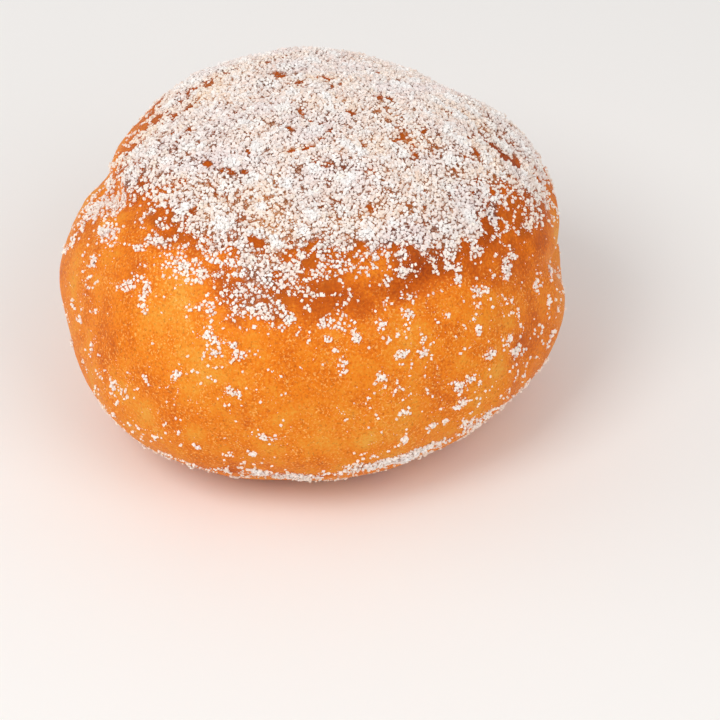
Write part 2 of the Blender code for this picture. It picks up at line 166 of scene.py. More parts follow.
# Bare and thin places in the sugar: azimuth, rise, half length, half width, tilt, share taken off
BARE_PLACES = (
    (-111, 74.2, 2.2, 1.1, 26, 0.86), (-96, 76, 2.2, 1, 26, 0.86), (-75, 79, 2, 0.7, 40, 0.7),
    (-50, 81.5, 2, 0.8, 10, 0.7), (-150, 89.3, 1.1, 1.1, 0, 0.64), (-147, 82, 1, 0.8, 0, 0.64),
    (-40, 71, 2, 1.2, 70, 0.64), (-78, 69, 2, 1, 0, 0.6), (5.5, 38.5, 3.2, 1.7, 42, 0.97),
    (2.6, 35, 2.6, 1.9, 90, 0.97), (4.5, 31.5, 3, 1.7, -58, 0.97), (-6, 33, 1, 1.5, 0, 0.9),
    (-24.5, 41.5, 1.2, 0.9, 0, 0.64), (-18, 37.3, 1.3, 1, 0, 0.9), (-18, 42, 1.5, 0.8, 0, 0.6),
    (-14, 35, 1.3, 1, 0, 0.9), (-29.5, 34.8, 2, 1.1, 20, 0.95), (-22, 31, 2.6, 2.6, 0, 0.5),
    (-75, 39.5, 6, 2, 0, 0.22), (161, 22, 6, 9, 10, 0.88), (-171, 34, 1.5, 1.6, 0, 0.85),
    (170, 38, 9, 3, 0, 0.2), (173, 41, 3.5, 0.9, -20, 0.64), (160, 41, 3, 0.9, 25, 0.64),
    (172, 22, 2.2, 2, 0, 0.4), (155, 50, 1.6, 1.4, 0, 0.64), (177, 55, 1.6, 1, 0, 0.64),
    (-150, 56.5, 1.5, 1.2, 0, 0.64), (-137, 59, 3, 1, 20, 0.64), (139, 48.5, 3, 3, 0, 0.5),
    (-134.5, 44, 1, 2.3, 0, 0.64), (110, 62, 2, 3, 0, 0.42), (103, 71, 2, 4, 0, 0.48),
    (7, 45, 2.6, 1.2, 0, 0.65), (-14, 62, 8, 4, 0, 0.13), (1, 47, 1.2, 1.2, 0, 0.64),
    (-5, 45, 0.8, 2.2, -20, 0.64), (-108, 43.3, 2.6, 1.1, -15, 0.75), (-96, 41, 2, 1.4, 0, 0.6),
    (-99.5, 36, 1.3, 1.1, 0, 0.75), (-118, 36.5, 2.2, 2.6, 0, 0.2), (-131, 61, 1.2, 1, 0, 0.64),
    (-142, 67, 1.2, 1, 0, 0.64), (-86, 70.5, 1.6, 0.9, 0, 0.64), (-53, 62, 1.8, 1.4, 0, 0.6),
    (-63, 52, 2, 1.4, 0, 0.4), (-25, 58, 1.6, 1.4, 0, 0.48), (-2, 59, 2.2, 1.6, 0, 0.48),
    (15, 30, 1.2, 1.4, 0, 0.5), (22, 36, 1.4, 1.2, 0, 0.6), (14, 38, 9, 6, 0, 0.22),
    (-4, 12, 7, 4, 0, 0.85), (60, 52, 2, 1.2, 30, 0.64), (80, 66, 3, 1.2, -20, 0.7),
    (35, 40, 2.4, 1.4, 10, 0.8), (120, 40, 2.2, 1.5, 0, 0.8), (88, 45, 1.6, 1.4, 0, 0.64),
    (31, 66, 3.5, 1.6, 30, 0.6), (77, 47, 2, 1.2, 0, 0.64), (50, 30, 3, 2, 10, 0.6),
    (-168, 57, 1.4, 0.9, 0, 0.7), (150, 46, 13, 6, 0, 0.17), (118, 50, 13, 5, 0, 0.15),
    (174, 53, 9, 6, 0, 0.1), (-20, 61, 9, 3.5, 0, 0.05), (-47, 62, 2.5, 3.5, 0, 0.2),
    (70, 71, 5, 2.5, 0, 0.22), (3, 45, 5, 4, 0, 0.14), (18, 78, 2.2, 1, 30, 0.7),
    (17, 50, 1, 2, 0, 0.6), (-79, 55, 4, 4, 0, 0.14), (-130, 53, 6, 3.5, 0, 0.12),
    (160, 47, 1.6, 1.4, 0, 0.64), (142, 45, 1.8, 1.4, 0, 0.64), (128, 50, 1.6, 1.6, 0, 0.64),
    (112, 53, 1.8, 1.4, 0, 0.64),
)

# The ring of sugar where the bun curves under: azimuth, rise, half width, share covered
SUGAR_RING = (
    (-170, -16, 1.4, 0.1), (-150, -17, 1.3, 0.08), (-130, -17, 1.4, 0.1), (-124, -13.8, 1.4, 0.36),
    (-118, -15.5, 1.2, 0.18), (-112, -15.5, 1.1, 0.26), (-108, -15.5, 1.5, 0.5),
    (-104, -16.8, 2.6, 0.76), (-100, -17.8, 2.8, 0.8), (-96, -18, 2.4, 0.78), (-92.5, -18, 2, 0.66),
    (-90, -16.5, 2.2, 0.78), (-86.5, -15.6, 1.8, 0.64), (-82, -15, 1.8, 0.76),
    (-77, -15.3, 1.7, 0.72), (-71, -15.8, 1.7, 0.72), (-67, -16.4, 2.3, 0.76),
    (-62.5, -16.3, 3.2, 0.84), (-58, -16.2, 2.2, 0.62), (-53, -15, 2.4, 0.44), (-48, -12.6, 3, 0.5),
    (-43, -11, 2.8, 0.5), (-39, -11, 2.2, 0.26), (-34, -10, 1.6, 0.08), (-25, -11, 1.6, 0.05),
    (0, -13, 2.4, 0.16), (40, -15, 2.6, 0.4), (80, -14, 2.6, 0.34), (120, -16, 2.6, 0.4),
    (160, -15, 2.4, 0.24),
)

# Where the sugar looks warmer: azimuth, rise, half length, half width, tilt, share
WARM_PLACES = (
    (161, 38, 12, 8, 0, 0.8), (133, 52, 14, 6, 0, 0.6), (96, 66, 10, 5, 0, 0.5),
    (30, 76, 6, 4, 0, 0.6), (-32, 68, 6, 4, 0, 0.6), (19, 48, 12, 8, 0, 0.42),
    (-5, 42, 8, 10, 0, 0.28), (-109, 48, 18, 7, 0, 0.5), (-74, 51, 10, 5, 0, 0.4),
    (-104, 75, 7, 3, 22, 0.5), (-124, 64, 6, 4, 0, 0.3),
)

# Shares of the skin that the sugar covers, and how far they go
CAP_SHARE = 0.955
CAP_MOST = 0.99
SIDE_SHARE = 0.044
UNDER_SHARE = 0.12
RING_SHARE = 0.88
RING_FADE = 1.8
VEIN_SHARE = 0.40
VEIN_HALF_WIDTH = 0.20
VEINED_SHARE = 0.30
CLUSTER_SHARE = 0.5
CLUSTER_FLOOR = -2.3
POWDER_FLOOR = -1.9
WARM_SHARE = 0.22
LOWEST_RISE = -24.0

# Uneven fields that the sugar follows: amount, width of the spots, seed
LIMIT_WAVER = ((1.3, 5.0 * MM, 31), (1.5, 1.9 * MM, 32))
CAP_SPOTS = ((0.05, 6.5 * MM, 35), (0.06, 2.6 * MM, 34))
VEINED_SPOTS = ((0.6, 8.0 * MM, 47),)
CLUSTER_SPOTS = ((2.0, 3.0 * MM, 48),)
SIDE_SPOTS = ((0.9, 9.0 * MM, 36),)
RING_WAVER = ((0.5, 4.0 * MM, 33),)
RING_SPOTS = ((0.20, 3.5 * MM, 49),)
POWDER_SPOTS = ((2.2, 2.4 * MM, 72),)
WARM_SPOTS = ((0.18, 5.0 * MM, 71),)
# The clumps whose crystals are tinted together as painted shade
CLUMP_SPOTS = ((0.35, 1.6 * MM, 45),)

# Fields whose zero lines the crystals follow or leave open: width, seed
VEIN_LINES = (3.6 * MM, 46)
STRING_LINES = (2.1 * MM, 37)
GAP_LINES = (1.2 * MM, 38)
KNOTS = (3.0 * MM, 39)

# The order of filling: shares of strings, knots and luck where thin, of gaps and luck where thick
THIN_WEIGHTS = (0.74, 0.34, 0.58)
THICK_WEIGHTS = (0.75, 0.66)
BELL_TO_LOGISTIC = 1.702

# The even spread of places: steps of rise, step of azimuth, shake, golden angle in half turns
LATTICE_RISES = 400
LATTICE_TURN = 10.0
SHAKE = 0.24
GOLDEN = 3.0 - math.sqrt(5.0)

# Lumps of crystals that cling together. These are given one by one: azimuth, rise, width in mm
PLACED_LUMPS = (
    (-157, 27, 1.6), (-153, 21.5, 1.7), (-136, 35, 1.6), (-132.5, 25, 1.6), (-125, 33, 1.6),
    (-120, 33, 1.5), (-111, 18.3, 1.7), (-107.5, 20.5, 1.5), (-107, 10, 1.6), (-104, 28, 1.7),
    (-95, 27.5, 1.5), (-87, 26, 1.4), (-86, 22.5, 1.5), (-79, 22, 1.6), (-73.5, 12, 1.5),
    (-72, 23.8, 1.4), (-71.5, 20.5, 1.3), (-68, 33.5, 1.4), (-68, 16, 1.4), (-64.5, 24.5, 1.6),
    (-63.5, 15, 1.5), (-62.5, 34, 1.5), (-49, 31, 1.5), (-47.5, 15, 1.4), (-46.3, 29.5, 1.6),
    (-45, 8, 1.6), (-44.5, 23.5, 1.5), (-38.5, 8, 1.3), (-37, 3.5, 1.6), (-32, 22.5, 1.8),
    (-20.5, 7, 1.4), (-14, 11, 1.6), (-54.5, 3.5, 1.7), (-51, 4, 1.4), (-54, -2, 1.6),
    (-57.5, -6, 1.5), (-61, -6, 1.4), (-68.3, -7.5, 1.6), (-100, -1, 1.3), (-119.5, 11, 1.3),
    (-115, -6.5, 1.3), (-127, 7.5, 1.3), (-136, 0.5, 1.4), (-145, 5, 1.3), (-169, 49, 1.8),
    (-165.5, 45.5, 1.6), (-151.5, 49.6, 1.6), (-167.3, 41, 1.5), (-132.6, 47, 1.8),
    (-138.5, 63.5, 1.6), (-71, 64, 1.5), (126.5, 61.5, 1.7), (33, 76.5, 1.6), (-72, 55.8, 1.5),
    (-11.5, 42.5, 1.7), (-26.3, 47, 1.5), (-49.5, 41.4, 1.8), (-42, 35.5, 1.8), (-3, 27.4, 1.6),
    (-37.3, 46.7, 1.4), (-39.5, 40.6, 1.5), (-84.3, 51.8, 1.5),
)

# The rest are drawn by rule: largest first, spread evenly where the sugar lies, as in the solid
LUMPS_DRAWN = 118
LUMP_LARGEST = 1.7 * MM
LUMP_SMALLEST = 1.0 * MM
LUMP_SPACING = 3.2
LUMP_SEED = 5
LUMP_FLATNESS = 0.55
LUMP_SINK = 0.12
LUMP_CORNERS = 12
LUMP_ROUGHNESS = 0.16
SHORT_STRETCH = (0.5, 0.85)
TALL_STRETCH = (0.9, 1.15)
LUMP_LIMIT_SOFTNESS = 2.0
LUMP_SIDE_SHARE = 0.06
LUMP_RIM_SHARE = 0.35
LUMP_RIM_RISE = -16.0
LUMP_RIM_HALF_WIDTH = 3.5
LOWEST_LUMP = -22.0
LOWEST_SINE = -0.4

# The crystals that make up the lumps: their width, how closely they lie, how they are shaken
LUMP_CRYSTAL = 0.44 * MM
LUMP_FILL = 0.85
LUMP_SHAKE_UP = 0.18
LUMP_SHAKE_ROUND = 0.6
LUMP_SPREAD = (0.6, 1.3)

# The camera: tilt, distance to the point on the floor that it looks at, and that point
CAMERA_TILT = math.radians(39.0)
CAMERA_DISTANCE = 650.0 * MM
CAMERA_AIM = Vector((8.95 * MM, 4.36 * MM, 0.0))
CAMERA_LENS = 164.45


# Shape of the bun

def turn_between(azimuth, centre):
    """The signed turn in degrees from one azimuth to another, between -180 and 180."""
    return (azimuth - centre + 180.0) % 360.0 - 180.0


def along_table(azimuth, table):
    """Each column of a table by azimuth, carried in straight lines from one azimuth to the next."""
    place, *columns = np.array(table, float).T
    return [np.interp(azimuth, place, column, period=360.0) for column in columns]


def oval_distance(azimuth, rise, place, level, length, width, tilt):
    """Squared distance from the middle of a tilted oval on the skin, one at its edge."""
    across = turn_between(azimuth, place) * math.cos(math.radians(level))
    up = rise - level
    cos, sin = math.cos(math.radians(tilt)), math.sin(math.radians(tilt))
    along = across * cos + up * sin
    aside = up * cos - across * sin
    return (along / length) ** 2 + (aside / width) ** 2


def add_ovals(total, azimuth, rise, table, scale=1.0):
    """Adds the listed ovals to a value, each a bell curve over azimuth and rise."""
    for *oval, amount in table:
        total = total + amount * scale * np.exp(-oval_distance(azimuth, rise, *oval))
    return total


def waist_groove(azimuth, rise):
    """A bell-shaped groove whose rise and depth drift from one listed azimuth to the next."""
    place, level, depth = np.array(WAIST, float).T
    gap = turn_between(np.asarray(azimuth)[..., None], place)
    share = np.exp(-((gap / WAIST_REACH) ** 2))
    share = share / share.sum(-1, keepdims=True)
    off = rise - (share * level).sum(-1)
    return -(share * depth).sum(-1) * MM * np.exp(-((off / WAIST_HALF_WIDTH) ** 2))


def unevenness(direction):
    """Dough is never smooth: a sum of seeded sine waves over the direction."""
    rng = np.random.default_rng(UNEVEN_SEED)
    wave = rng.normal(0.0, UNEVEN_SPREAD, (UNEVEN_WAVES, 3))
    phase = rng.uniform(0.0, 2.0 * math.pi, UNEVEN_WAVES)
    return UNEVEN_DEPTH * np.sin(direction @ wave.T + phase).sum(-1)


def press_flat(height):
    """Flattens what lies below the table and rounds the edge of the foot that this makes."""
    rounded = (height + FOOT_SOFTNESS) ** 2 / (4.0 * FOOT_SOFTNESS)
    flat = np.where(height < -FOOT_SOFTNESS, 0.0, rounded)
    return np.where(height > FOOT_SOFTNESS, height, flat)


def unit(vector):
    """Vectors brought to length one."""
    return vector / np.linalg.norm(vector, axis=-1, keepdims=True)


def angles_of(direction):
    """Azimuth and rise in degrees of unit directions."""
    azimuth = np.degrees(np.arctan2(direction[..., 1], direction[..., 0]))
    return azimuth, np.degrees(np.arcsin(np.clip(direction[..., 2], -1.0, 1.0)))


def direction_of(azimuth, rise):
    """Unit directions of an azimuth and rise in degrees."""
    turn, lift = np.radians(azimuth), np.radians(rise)
    return np.stack([np.cos(lift) * np.cos(turn), np.cos(lift) * np.sin(turn), np.sin(lift)], -1)


def field(point, width, seed):
    """An uneven field over space, with spots of the given width and a spread of one.

    It is a sum of sine waves, each with a seeded direction, phase and length near twice the width.
    """
    rng = np.random.default_rng(seed)
    way = unit(rng.normal(size=(FIELD_WAVES, 3)))
    pace = math.pi / width * rng.uniform(*WAVE_SPAN, (FIELD_WAVES, 1))
    phase = rng.uniform(0.0, 2.0 * math.pi, FIELD_WAVES)
    return np.sin(point @ (way * pace).T + phase).sum(-1) * math.sqrt(2.0 / FIELD_WAVES)


def logistic(value):
    """Climbs smoothly from 0 to 1, with 0.5 at a value of zero."""
    return 1.0 / (1.0 + np.exp(-value))


def uneven(point, spots, mean=0.0):
    """A mean value with fields added to it: amount, width of the spots and seed of each."""
    for amount, width, seed in spots:
        mean = mean + amount * field(point, width, seed)
    return mean


def plain_skin(direction):
    """The solid's own skin in each direction from the middle of the belly, not yet centred.

    The reach is that of a superellipse, with one power and height above the belly and another below
    it, and a radius that the plan waves vary. Groove, hills, dents and unevenness are added to it.
    """
    azimuth, rise = angles_of(direction)
    turn = np.radians(azimuth)
    sin = direction[..., 2]
    cos = np.sqrt(np.maximum(1.0 - sin ** 2, 0.0))
    plan = np.ones(np.shape(turn))
    for count, cosine_share, sine_share in PLAN_WAVES:
        plan = plan + cosine_share * np.cos(count * turn) + sine_share * np.sin(count * turn)
    power = np.where(sin > 0.0, DOME_POWER, KEEL_POWER)
    tall = np.where(sin > 0.0, DOME_HEIGHT, KEEL_DEPTH)
    width_part = (cos / (BELLY_RADIUS * plan)) ** power
    reach = (width_part + (np.abs(sin) / tall) ** power) ** (-1.0 / power)
    reach = reach + add_ovals(0.0, azimuth, rise, HILLS, MM) + waist_groove(azimuth, rise)
    reach = reach + unevenness(direction)
    point = direction * reach[..., None]
    point[..., 2] = press_flat(point[..., 2] + BELLY_HEIGHT)
    return point


def plan_centre():
    """The middle of the solid's skin in plan, which the doughnut is centred on."""
    azimuth, rise = np.meshgrid(np.arange(0.0, 360.0, 1.0), np.arange(-40.0, 41.0, 1.0))
    point = plain_skin(direction_of(azimuth, rise)).reshape(-1, 3)
    middle = (point.min(0) + point.max(0)) / 2.0
    middle[2] = 0.0
    return middle


CENTRE = plan_centre()


def skin(direction):
    """The dressed skin: the solid's, with fine ripples that fade out towards the flat foot."""
    point = plain_skin(direction) - CENTRE
    fade = np.clip(point[..., 2] / RIPPLE_FADE, 0.0, 1.0)
    return point + direction * (uneven(point, RIPPLES) * fade)[..., None]


def skin_frame(direction):
    """Points of the skin with two directions along it and the one out of it."""
    east = unit(np.cross([[0.0, 0.0, 1.0]], direction))
    north = np.cross(direction, east)
    point = skin(direction)
    slope_east = skin(unit(direction + SLOPE_STEP * east)) - point
    slope_north = skin(unit(direction + SLOPE_STEP * north)) - point
    outward = unit(np.cross(slope_east, slope_north))
    east = unit(slope_east)
    return point, east, np.cross(outward, east), outward


# Where the sugar lies

def sugar_cover(direction, point):
    """How much of the skin the sugar covers, 0 to 1.

    The cap is full down to the listed limit, which wavers, apart from winding veins here and there.
    Below it lie clusters, a ring where the bun curves under and a thin scatter of single crystals.
    The clusters are listed in front and follow a field behind. Bare places are taken off last.
    """
    azimuth, rise = angles_of(direction)
    limit, softness = along_table(azimuth, SUGAR_LIMIT)
    waver = uneven(point, LIMIT_WAVER)
    thick = uneven(point, CAP_SPOTS, CAP_SHARE)
    vein = np.exp(-((field(point, *VEIN_LINES) / VEIN_HALF_WIDTH) ** 2))
    veined = np.clip(uneven(point, VEINED_SPOTS, VEINED_SHARE), 0.0, 1.0)
    thick = np.minimum(thick, CAP_MOST) * (1.0 - VEIN_SHARE * vein * veined)
    cover = thick / (1.0 + np.exp(-(rise + waver - limit) / softness))
    behind = 0.5 + 0.5 * np.sin(np.radians(azimuth))
    cluster = np.clip(uneven(point, CLUSTER_SPOTS, CLUSTER_FLOOR), 0.0, 1.0)
    cover = np.maximum(cover, CLUSTER_SHARE * cluster * behind)
    cover = np.maximum(cover, SIDE_SHARE * uneven(point, SIDE_SPOTS, 1.0))
    for *oval, share in SUGAR_PATCHES:
        cover = np.maximum(cover, share * np.exp(-oval_distance(azimuth, rise, *oval) ** 2))
    level, half, share = along_table(azimuth, SUGAR_RING)
    off = uneven(point, RING_WAVER, rise - level)
    off = np.where(off < 0.0, off / RING_FADE, off)
    share = share * uneven(point, RING_SPOTS, RING_SHARE)
    cover = np.maximum(cover, share * np.exp(-((off / half) ** 4)))
    cover = np.maximum(cover, UNDER_SHARE * (off < 0.0))
    for *oval, share in BARE_PLACES:
        cover = cover * (1.0 - share * np.exp(-oval_distance(azimuth, rise, *oval) ** 2))
    return np.where(rise < LOWEST_RISE, 0.0, np.clip(cover, 0.0, 1.0))


def sugar_powder(point):
    """Where the finest sugar lies in small white heaps, 0 to 1: the tops of an uneven field."""
    return np.clip(uneven(point, POWDER_SPOTS, POWDER_FLOOR), 0.0, 1.0)


def sugar_warmth(point):
    """How warm the sugar looks, 0 to 1, as crust shines through: listed ovals and a field."""
    azimuth, rise = angles_of(unit(point + CENTRE - [0.0, 0.0, BELLY_HEIGHT]))
    warmth = uneven(point, WARM_SPOTS, WARM_SHARE)
    return np.clip(add_ovals(warmth, azimuth, rise, WARM_PLACES), 0.0, 1.0)


def score(value):
    """Turns the size of a value with a spread of one into a score with a spread of about one."""
    share = np.clip(np.tanh(BELL_TO_LOGISTIC / 2.0 * np.abs(value)), 0.001, 0.999)
    return np.log(share / (1.0 - share)) / BELL_TO_LOGISTIC


def ranks(point, cover, luck):
    """The order in which places fill with crystals, 0 first and 1 last.

    Where sugar is thin, crystals lie in knots and in strings along the winding zero lines of a
    field. Where it is thick, only narrow gaps stay open, along the zero lines of another.
    """
    string = score(field(point, *STRING_LINES))
    gap = -score(field(point, *GAP_LINES))
    knot = field(point, *KNOTS)
    thick = np.clip(cover, 0.0, 1.0) ** 2
    thin = 1.0 - thick
    by_string, by_knot, by_luck = THIN_WEIGHTS
    mixed = thin * (by_string * string + by_knot * knot + by_luck * luck)
    by_gap, by_luck = THICK_WEIGHTS
    mixed = mixed + thick * (by_gap * gap + by_luck * luck)
    mixed = mixed / np.sqrt(thin ** 2 + thick ** 2)
    return logistic(BELL_TO_LOGISTIC * mixed)


def lattice(spacing, seed):
    """Directions of places that lie evenly over the skin, one for each square of the spacing.

    They follow a spiral by the golden angle, at rises that step off equal areas of the skin's mean
    profile, and are then shaken a little and shuffled.
    """
    rng = np.random.default_rng(seed)
    rise = np.linspace(LOWEST_RISE, 90.0, LATTICE_RISES)
    azimuth, level = np.meshgrid(np.arange(0.0, 360.0, LATTICE_TURN), rise)
    profile = plain_skin(direction_of(azimuth, level)) - CENTRE
    across = np.hypot(profile[..., 0], profile[..., 1]).mean(1)
    height = profile[..., 2].mean(1)
    strip = math.pi * (across[1:] + across[:-1]) * np.hypot(np.diff(across), np.diff(height))
    area = np.concatenate([[0.0], np.cumsum(strip)])
    count = int(area[-1] / spacing ** 2)
    step = np.arange(count)
    level = np.interp((step + 0.5) / count * area[-1], area, rise)
    direction = direction_of(step * 180.0 * GOLDEN, level)
    direction = unit(direction + rng.normal(0.0, SHAKE * spacing / BELLY_RADIUS, (count, 3)))
    return rng.permutation(direction)


def scatter(direction, seed, gain=1.0, most=1.0, powdered=0.0):
    """Which places have a crystal, how thickly the sugar lies round each, and how heaped it is.

    As large a share of the places is filled as the sugar covers there, to the power of the gain,
    times the most that is ever filled. In the white heaps the powdered share of what is left is
    filled too.
    """
    rng = np.random.default_rng(seed)
    point = plain_skin(direction) - CENTRE
    cover = sugar_cover(direction, point)
    rank = ranks(point, cover, rng.normal(size=len(direction)))
    share = most * cover ** gain
    share = share + (1.0 - share) * powdered * cover * sugar_powder(point)
    kept = np.flatnonzero(rank < share)
    return direction[kept], cover[kept], 1.0 - rank[kept]


def lump_share(azimuth, rise):
    """How thickly lumps lie, 0 to 1: all over the cap, along the lower rim, thin between."""
    limit, _ = along_table(azimuth, SUGAR_LIMIT)
    cap = logistic((rise - limit) / LUMP_LIMIT_SOFTNESS)
    rim = LUMP_RIM_SHARE * math.exp(-((rise - LUMP_RIM_RISE) / LUMP_RIM_HALF_WIDTH) ** 2)
    return 0.0 if rise < LOWEST_LUMP else max(cap, rim, LUMP_SIDE_SHARE)


def lump_places():
    """Azimuth, rise and width of every lump: the listed ones, then seeded draws.

    A draw is spread evenly over the sphere of directions. It stays if the sugar is thick enough
    there and no lump that is already placed lies too near.
    """
    rng = np.random.default_rng(LUMP_SEED)
    places = [(azimuth, rise, width * MM) for azimuth, rise, width in PLACED_LUMPS]
    points = [plain_skin(direction_of(azimuth, rise)) for azimuth, rise, _ in places]
    while len(places) < len(PLACED_LUMPS) + LUMPS_DRAWN:
        done = (len(places) - len(PLACED_LUMPS)) / LUMPS_DRAWN
        width = LUMP_LARGEST + (LUMP_SMALLEST - LUMP_LARGEST) * done
        azimuth = rng.uniform(-180.0, 180.0)
        rise = math.degrees(math.asin(rng.uniform(LOWEST_SINE, 1.0)))
        if rng.uniform() > lump_share(azimuth, rise):
            continue
        point = plain_skin(direction_of(azimuth, rise))
        if np.linalg.norm(np.array(points) - point, axis=1).min() < LUMP_SPACING * width:
            continue
        places.append((azimuth, rise, width))
        points.append(point)
    return np.array(places)


def lump_forms(count):
    """Spin, short stretch and tall stretch of every lump, drawn as for the solid."""
    rng = np.random.default_rng(LUMP_SEED + 1)
    forms = []
    for _ in range(count):
        rng.uniform(-LUMP_ROUGHNESS, LUMP_ROUGHNESS, (LUMP_CORNERS, 1))
        spin = rng.uniform(0.0, 2.0 * math.pi)
        forms.append((spin, rng.uniform(*SHORT_STRETCH), rng.uniform(*TALL_STRETCH)))
    return np.array(forms)


def lump_frames():
    """Places and outward directions of the crystals that make up the lumps.

    The crystals of a lump lie along a spiral over a half ellipsoid with the lump's own length,
    width and height, at equal steps of area and then shaken a little, and point out of it.
    """
    azimuth, rise, width = lump_places().T
    spin, short, tall = lump_forms(len(width)).T
    point, east, north, outward = skin_frame(direction_of(azimuth, rise))
    cos, sin = np.cos(spin)[:, None], np.sin(spin)[:, None]
    along, aside = east * cos + north * sin, north * cos - east * sin
    count = np.ceil(LUMP_FILL * short * (width / LUMP_CRYSTAL) ** 2).astype(int)
    owner = np.repeat(np.arange(len(width)), count)
    step = np.arange(len(owner)) - np.repeat(np.cumsum(count) - count, count)
    rng = np.random.default_rng(LUMP_SEED + 2)
    height = 1.0 - (step + 0.5) / count[owner] + rng.normal(0.0, LUMP_SHAKE_UP, len(owner))
    height = np.clip(height, 0.0, 1.0)
    turn = step * math.pi * GOLDEN + rng.normal(0.0, LUMP_SHAKE_ROUND, len(owner))
    ring = np.sqrt(1.0 - height ** 2) * rng.uniform(*LUMP_SPREAD, len(owner))
    half = width[owner, None] / 2.0
    flat = along[owner] * (np.cos(turn) * ring)[:, None]
    flat = flat + aside[owner] * (np.sin(turn) * ring * short[owner])[:, None]
    dome = outward[owner] * height[:, None]
    level = LUMP_FLATNESS * tall[owner, None]
    place = point[owner] + flat * half + dome * half * level * (1.0 - LUMP_SINK)
    return place, unit(flat + dome / level)


# Meshes from arrays

def add_mesh(name, points, faces, smooth):
    """A mesh object from arrays of corners and faces, at the origin and unturned."""
    mesh = bpy.data.meshes.new(name)
    mesh.from_pydata(points, [], faces)
    mesh.update()
    mesh.polygons.foreach_set("use_smooth", np.full(len(mesh.polygons), smooth))
    piece = bpy.data.objects.new(name, mesh)
    bpy.context.scene.collection.objects.link(piece)
    return piece


def add_value(piece, name, values):
    """Writes one number for each corner of the mesh as a named attribute."""
    layer = piece.data.attributes.new(name, "FLOAT", "POINT")
    layer.data.foreach_set("value", np.asarray(values, np.float32).ravel())


def add_map(piece, corners):
    """Writes the flat map of the finish: two numbers for each corner of each face."""
    layer = piece.data.uv_layers.new(name="OFBake")
    layer.data.foreach_set("uv", np.asarray(corners, np.float32).ravel())


def dress(piece, finish):
    """Says what the piece stands for, and gives it its finish."""
    piece.data.materials.append(finish)
    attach(piece, "root")
    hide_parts(NODE)
    return piece


# The bun

BUN_CELLS = 127

# Browning of the side, what the cap and its middle add (amount, degrees past the sugar's limit,
# softness), and spots (amount, width, seed)
SIDE_BROWNING = 0.30
ADDED_BROWNING = ((0.48, -1.0, 4.0), (0.15, 9.0, 2.0))
BROWN_SPOTS = ((0.045, 7.0 * MM, 41), (0.03, 2.5 * MM, 42))


def cube_ball(cells):
    """Even directions over the six faces of a cube, joined along its edges, with faces and a map.

    On each face both coordinates are the tangent of an evenly stepped angle, which makes the cells
    nearly alike once the points are brought to length one. Each cube face has its cell of the map.
    """
    step = np.tan(np.linspace(-1.0, 1.0, cells + 1) * math.pi / 4.0)
    across, up = np.meshgrid(step, step, indexing="ij")
    flat = np.stack([across, up, np.ones_like(across)], -1).reshape(-1, 3)
    turns = [
        [[1, 0, 0], [0, 1, 0], [0, 0, 1]],
        [[1, 0, 0], [0, -1, 0], [0, 0, -1]],
        [[0, 1, 0], [0, 0, 1], [1, 0, 0]],
        [[0, -1, 0], [0, 0, 1], [-1, 0, 0]],
        [[-1, 0, 0], [0, 0, 1], [0, 1, 0]],
        [[1, 0, 0], [0, 0, 1], [0, -1, 0]],
    ]
    row = cells + 1
    first = (np.arange(cells)[:, None] * row + np.arange(cells)[None]).ravel()
    quads = np.stack([first, first + row, first + row + 1, first + 1], 1)
    even = np.linspace(0.01, 0.99, row)
    inset = np.stack(np.meshgrid(even, even, indexing="ij"), -1).reshape(-1, 2)
    points, faces, maps = [], [], []
    for number, axes in enumerate(turns):
        points.append(unit(flat @ np.array(axes, float)))
        faces.append(quads + number * row * row)
        cell = np.array([number % 3, number // 3], float)
        maps.append(((inset + cell) / [3.0, 2.0])[quads])
    points = np.concatenate(points)
    faces = np.concatenate(faces)
    _, kept, joined = np.unique(np.round(points, 6), axis=0, return_index=True, return_inverse=True)
    return points[kept], joined.ravel()[faces], np.concatenate(maps)


# Browner and paler patches of the crust: azimuth, rise, half width, half height, tilt, change
CRUST_PATCHES = (
    (-55, 33.5, 8, 3.6, 0, 0.5), (-64, 29.5, 5, 3, -20, 0.22), (-78, 31, 10, 4, 0, 0.06),
    (-40, 30, 6, 3, 0, 0.14), (5, 37, 8, 3, 57, 0.15), (-26, 30, 6, 8, 0, 0.42),
    (-12, 21, 12, 6, 0, 0.26), (-28, 21, 5, 5, 0, 0.14), (-24, 1, 8, 8, 0, 0.26),
    (-22, -10, 7, 6, 0, 0.12), (-100, 30, 12, 5, 0, 0.2), (-84, 31, 9, 5, 0, 0.22),
    (-99, 36, 3, 3, 0, 0.15), (-112, 32, 6, 4, 0, 0.12), (-92, 20, 8, 5, 0, 0.08),
    (-82, 22, 8, 5, 0, 0.06), (-138, 38, 4, 2.5, 0, 0.26), (-148, 37, 9, 4, 0, 0.12),
    (-141, 16, 5, 10, 0, 0.12), (-162, 36, 8, 5, 0, 0.1), (-168, 20, 8, 8, 0, 0.06),
    (-137, 27, 5, 4, 0, 0.12), (-140, 3, 4, 6, 0, 0.1), (-135, 44, 3, 4, 0, 0.2),
    (-126, 27, 7, 5, 0, -0.24), (-161, 27.5, 2.5, 1.6, 0, -0.3), (-113, 37, 3, 3, 0, -0.15),
    (-122, 14, 9, 6, 0, -0.1), (-74, -4, 16, 5, 0, -0.1), (-76, -5, 4, 2, 0, -0.12),
    (-70, -13, 14, 4, 0, -0.1), (-98, -12, 10, 3, 0, 0.12), (-90, -17.5, 8, 2, 0, 0.3),
    (-110, -16.5, 5, 1.6, 0, 0.25), (-60, -2, 8, 6, 0, 0.05), (-90, 3, 10, 8, 0, 0.03),
    (-36, 10, 6, 8, 0, 0.1), (-1, 13, 4, 5, 0, -0.28), (-150, 56, 3, 2, 0, -0.3),
    (-171, 34, 2, 2, 0, -0.3), (-14, 62, 5, 3, 0, -0.1),
)


